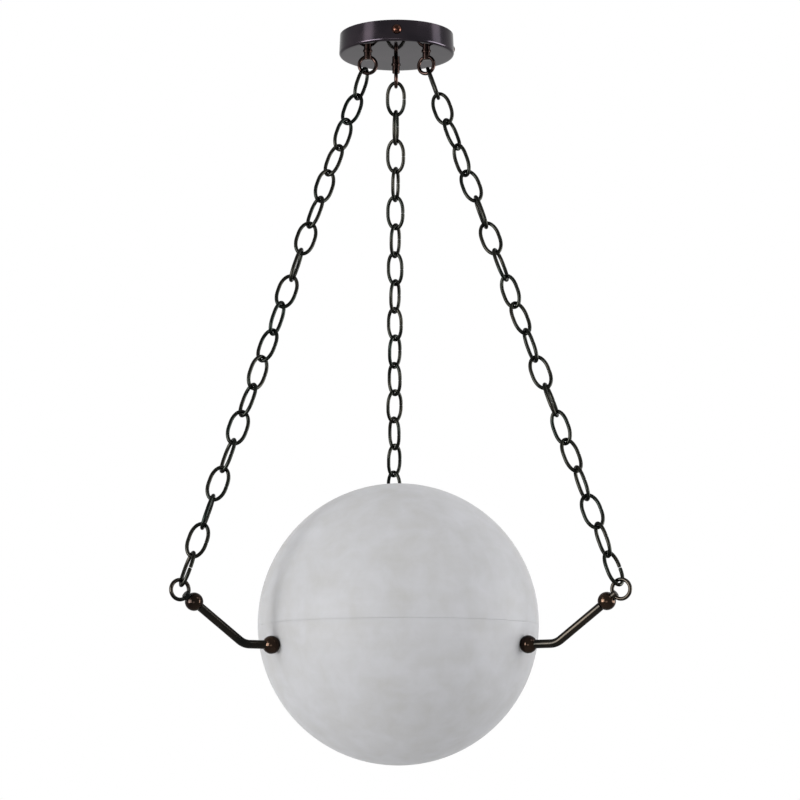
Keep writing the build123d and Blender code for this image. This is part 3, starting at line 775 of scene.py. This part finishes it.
LINK_RUNS = (("top_link", 1, BUTT_GAP), ("chain_links", RUN_LINKS, BUTT_GAP), ("end_link", 1, OPEN_GAP))
for side in SIDES:
    for part, count, gap in LINK_RUNS:
        node = f"{side}_{part}"
        piece(f"{side}_{part}_wire", links_like(node, count, gap), chain_bronze, "chain", node)

# %% [markdown]
# ## Arms
#
# Each arm is a tube bent once over a former, with a ball at each end. The inner ball is flattened against
# a soft washer on the stone, the outer one carries a screw eye. The tube is hollow: its path goes out
# along the outer wall and comes back along the bore, so the surface closes on itself.

# %% Arms
TUBE_R = 0.0045
TUBE_BORE_R = 0.003
BALL_R = 0.0095
BALL_FLAT = 0.007
BALL_EYE_FLAT = 0.0076
SOCKET_END = 0.004
SOCKET_CLEAR = 0.00005
STUD_HOLE_R = 0.00305
STUD_HOLE_END = 0.002
EYE_SHANK_R = 0.0025
EYE_SHANK_L = 0.0055
ARM_STUB = 0.032
ARM_RISE = 0.0714
ARM_ANGLE = radians(35.8)
ARM_BEND_R = 0.020
TUBE_SIDES = 40
BEND_STEPS = 14
BALL_ROWS = 28
BALL_COLUMNS = 56

tube_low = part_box("back_arm_tube")[0]
arm_out = tube_low.y - SOCKET_END
arm_z = tube_low.z + TUBE_R
outer_out = arm_out + ARM_STUB + ARM_RISE * cos(ARM_ANGLE)
outer_z = arm_z + ARM_RISE * sin(ARM_ANGLE)


def arm_path():
    """Distance out and height along an arm, and its heading: straight, one bend, then a straight rise."""
    bend_start = arm_out + ARM_STUB - ARM_BEND_R * tan(ARM_ANGLE / 2)
    turn = np.linspace(0, ARM_ANGLE, BEND_STEPS)
    bend = arc((bend_start, arm_z + ARM_BEND_R), ARM_BEND_R, -90, degrees(ARM_ANGLE) - 90, BEND_STEPS)
    start = [arm_out + SOCKET_END, arm_z]
    end = [outer_out - SOCKET_END * cos(ARM_ANGLE), outer_z - SOCKET_END * sin(ARM_ANGLE)]
    heading = np.concatenate([[0.0], turn, [ARM_ANGLE]])
    return np.concatenate([[start], bend, [end]]), np.stack([np.cos(heading), np.sin(heading)], -1)


def arm_surface(angle):
    """A hollow tube: out along the outer wall, back along the bore."""
    path, along = arm_path()
    level, up, out = outward_axes(angle)
    spread = np.array([out, up])
    there_and_back = np.concatenate([path, path[::-1]]) @ spread
    headings = np.concatenate([along, along[::-1]]) @ spread
    radius = np.repeat([TUBE_R, TUBE_BORE_R], len(path))
    return tube(there_and_back, headings, level, radius, TUBE_SIDES, loop=True)


def ball_outline(flat, hole_r, hole_end):
    """Radius and height of a ball: a hole from its flat, the flat, the ball, and the socket for the tube."""
    socket_r = TUBE_R + SOCKET_CLEAR
    start = -degrees(np.arcsin(flat / BALL_R))
    end = degrees(acos(socket_r / BALL_R))
    hole = [[0, hole_end], [hole_r, hole_end], [hole_r, -flat]]
    socket = [[socket_r, SOCKET_END], [0, SOCKET_END]]
    return np.concatenate([hole, arc((0, 0), BALL_R, start, end, BALL_ROWS), socket])


inner_ball = lathe(ball_outline(BALL_FLAT, STUD_HOLE_R, STUD_HOLE_END), BALL_COLUMNS)
shank_hole_end = EYE_SHANK_L - BALL_EYE_FLAT
outer_ball = lathe(ball_outline(BALL_EYE_FLAT, EYE_SHANK_R + SOCKET_CLEAR, shank_hole_end), BALL_COLUMNS)
inner_balls = []
outer_balls = []
for side, angle in SIDES.items():
    piece(f"{side}_arm", arm_surface(angle), arm_bronze, "bronze", f"{side}_arm_tube")
    inner_balls.append(moved(inner_ball, outward(angle, arm_out, arm_z), *outward_axes(angle)))
    level, up, out = outward_axes(angle, ARM_ANGLE)
    outer_balls.append(moved(outer_ball, outward(angle, outer_out, outer_z), level, -up, -out))
piece("inner_ball_set", joined(inner_balls), ball_bronze, "bronze", "inner_balls")
piece("outer_ball_set", joined(outer_balls), ball_bronze, "bronze", "outer_balls")

# %% [markdown]
# ## Screw eyes
#
# An eye is a ring of wire brazed through a turned stem, whose rounded end shows inside the ring. The hook
# eyes have a collar against the canopy. Ring and stem are two closed surfaces, as the two real pieces
# are.

# %% Screw eyes
EYE_WIRE = 0.0041
EYE_NECK_R = 0.0042
EYE_NECK_PAST = 0.0013
EYE_NECK_ROUND = 0.0008
HOOK_RING_D = 0.0226
HOOK_DROP = 0.0156
HOOK_COLLAR_R = 0.0052
HOOK_COLLAR_H = 0.0016
HOOK_COLLAR_ROUND = 0.0005
HOOK_SHANK_R = 0.003
HOOK_SHANK_L = 0.0092
HOOK_TURN = {"back": 0, "left": -30, "right": 0}
ARM_RING_D = 0.0242
ARM_EYE_REACH = 0.020
RING_ROWS = 64
RING_SIDES = 18
STEM_COLUMNS = 40
STEM_ROUND_ROWS = 6


def ring_surface(diameter, up):
    """A ring of wire in the yz plane, its middle at a height on the z axis."""
    angle = np.arange(RING_ROWS) * 2 * pi / RING_ROWS
    radius = (diameter - EYE_WIRE) / 2
    path = np.stack([0 * angle, radius * np.sin(angle), up - radius * np.cos(angle)], -1)
    along = np.stack([0 * angle, np.cos(angle), np.sin(angle)], -1)
    return tube(path, along, np.array([1.0, 0, 0]), EYE_WIRE / 2, RING_SIDES, loop=True)


def rounded_corner(radius, height, corner_r):
    """The rounded upper edge of a turned step."""
    return arc((radius - corner_r, height - corner_r), corner_r, 0, 90, STEM_ROUND_ROWS).tolist()


def stem_surface(shank_r, shank_l, neck_l, collar):
    """A turned stem: a shank, a collar on some, and a neck with a rounded end."""
    outline = [[0, -shank_l], [shank_r, -shank_l], [shank_r, 0]]
    if collar:
        outline += [[HOOK_COLLAR_R, 0]]
        outline += rounded_corner(HOOK_COLLAR_R, HOOK_COLLAR_H, HOOK_COLLAR_ROUND)
        outline += [[EYE_NECK_R, HOOK_COLLAR_H]]
    else:
        outline += [[EYE_NECK_R, 0]]
    outline += rounded_corner(EYE_NECK_R, neck_l, EYE_NECK_ROUND)
    return lathe(outline + [[0, neck_l]], STEM_COLUMNS)


def screw_eye(node, finish, seat, ring_d, reach, shank_r, shank_l, collar):
    """The ring and the stem of one eye, on its seat."""
    neck_l = reach - (ring_d - EYE_WIRE) / 2 + EYE_WIRE / 2 + EYE_NECK_PAST
    ring = moved(ring_surface(ring_d, reach), *seat)
    stem = moved(stem_surface(shank_r, shank_l, neck_l, collar), *seat)
    piece(f"{node}_ring", ring, finish, "bronze", node)
    piece(f"{node}_stem", stem, finish, "bronze", node)


for side, angle in SIDES.items():
    across = outward(angle + HOOK_TURN[side] + 90, 1, 0)
    down = np.array([0, 0, -1.0])
    hook_seat = (outward(angle, HOOK_CIRCLE_R, underside), across, np.cross(down, across), down)
    hook_sizes = (HOOK_RING_D, HOOK_DROP, HOOK_SHANK_R, HOOK_SHANK_L)
    screw_eye(f"{side}_hook_eye", hook_bronze, hook_seat, *hook_sizes, True)
    level, up, out = outward_axes(angle, ARM_ANGLE)
    arm_seat = (outward(angle, outer_out, outer_z) + BALL_EYE_FLAT * out, level, up, out)
    arm_sizes = (ARM_RING_D, ARM_EYE_REACH - BALL_EYE_FLAT, EYE_SHANK_R, EYE_SHANK_L)
    screw_eye(f"{side}_arm_eye", arm_bronze, arm_seat, *arm_sizes, False)

# %% [markdown]
# ## Finishes of the hidden pieces
#
# Plates, nuts, washers, the lampholder and the bulb are hidden in the canopy or the globe. Those that are
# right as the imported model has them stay, with finishes of their own: zinc plate, clear rubber, porcelain
# and plastic.

# %% Plain finishes
TONE_WAVES = 60.0
MARK_WAVES = 900.0
MARK_SMOOTHER = 0.05
MARK_ROUGHER = 0.08
MARK_RELIEF = 0.08
MARK_DEPTH = 0.0001


def plain_finish(name, low, high, roughness, metallic):
    """A tone that drifts between two colours, with fine marks in its gloss and relief."""
    finish = Finish(name, Metallic=metallic)
    drift = finish.noise(TONE_WAVES, 3.0)
    marks = finish.noise(MARK_WAVES, 2.0)
    finish.set("Base Color", finish.colours(drift, (0.3, low), (0.7, high)))
    worn = (roughness - MARK_SMOOTHER, roughness + MARK_ROUGHER)
    finish.set("Roughness", finish.span(marks, 0.3, 0.7, *worn))
    finish.relief(marks, MARK_RELIEF, MARK_DEPTH)
    return finish.material


finishes = {
    "zinc": plain_finish("zinc_plate", (0.42, 0.42, 0.41), (0.56, 0.56, 0.54), 0.35, 1.0),
    "soft": plain_finish("clear_rubber", (0.5, 0.5, 0.48), (0.6, 0.6, 0.58), 0.55, 0.0),
    "porcelain": plain_finish("porcelain", (0.76, 0.75, 0.71), (0.8, 0.79, 0.76), 0.15, 0.0),
    "block": plain_finish("block_plastic", (0.68, 0.67, 0.63), (0.75, 0.74, 0.7), 0.5, 0.0),
    "cap": plain_finish("bulb_cap_metal", (0.6, 0.6, 0.6), (0.72, 0.72, 0.72), 0.3, 1.0),
    "envelope": plain_finish("bulb_envelope", (0.8, 0.79, 0.75), (0.85, 0.84, 0.8), 0.3, 0.0),
    "bronze": arm_bronze,
    "chain": chain_bronze,
    "alabaster": alabaster,
}
for subpart in frame["record"]["subparts"]:
    node = frame["nodes"][subpart["node"]]
    for material_slot in node.material_slots:
        material_slot.material = finishes[subpart["material_slot"]]
print("finishes", sorted(finishes))

# %% [markdown]
# ## Bulb
#
# The bulb shows when the dome is lifted off. Its envelope is a ball with a cone that meets it on the
# tangent, and its cap has a screw thread. A thread needs no sweep: on a grid of height and angle it is
# only a wave in the radius, r = R - d (1 - cos(2 pi h / p - a)) / 2, which climbs by one pitch p for each
# turn of the angle a.

# %% Bulb
BULB_R = 0.030
BULB_NECK_R = 0.0125
BULB_ROWS = 40
BULB_COLUMNS = 72
THREAD_PITCH = 0.0036
THREAD_DEPTH = 0.0012
THREAD_FADE = 0.002
THREAD_MARGIN = 0.004
CAP_ROWS = 90
CONTACT_R = 0.0048

cap_low, cap_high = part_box("bulb_cap")
glass_low, glass_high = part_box("bulb_glass")


def bulb_outline():
    """Radius and height of the envelope: the neck's foot, then the ball from its tangent to its top."""
    middle = glass_high.z - BULB_R
    drop = middle - glass_low.z
    reach = hypot(BULB_NECK_R, drop)
    tangent = degrees(acos(BULB_R / reach) - atan2(drop, BULB_NECK_R))
    foot = [[0, glass_low.z], [BULB_NECK_R, glass_low.z]]
    return np.concatenate([foot, arc((0, middle), BULB_R, tangent, 90, BULB_ROWS)])


def cap_surface():
    """A turned cap whose radius has the wave of a thread, faded out at both ends."""
    cap_r = cap_high.x
    foot = cap_low.z + THREAD_MARGIN
    height = np.linspace(foot, cap_high.z, CAP_ROWS)
    shell = np.stack([np.full(CAP_ROWS, cap_r), height], -1)
    profile = np.concatenate([[[0, cap_low.z], [CONTACT_R, cap_low.z]], shell, [[0, cap_high.z]]])
    points, quads = lathe(profile, BULB_COLUMNS)
    angle = np.arctan2(points[:, 1], points[:, 0])
    wave = (1 - np.cos(2 * pi * points[:, 2] / THREAD_PITCH - angle)) / 2
    from_ends = np.minimum(points[:, 2] - foot, cap_high.z - THREAD_MARGIN - points[:, 2])
    groove = THREAD_DEPTH * wave * np.clip(from_ends / THREAD_FADE, 0, 1)
    points[:, :2] *= (1 - groove / cap_r)[:, None]
    return points, quads


piece("bulb_envelope", lathe(bulb_outline(), BULB_COLUMNS), finishes["envelope"], "envelope", "bulb_glass")
piece("bulb_screw_cap", cap_surface(), finishes["cap"], "cap", "bulb_cap")
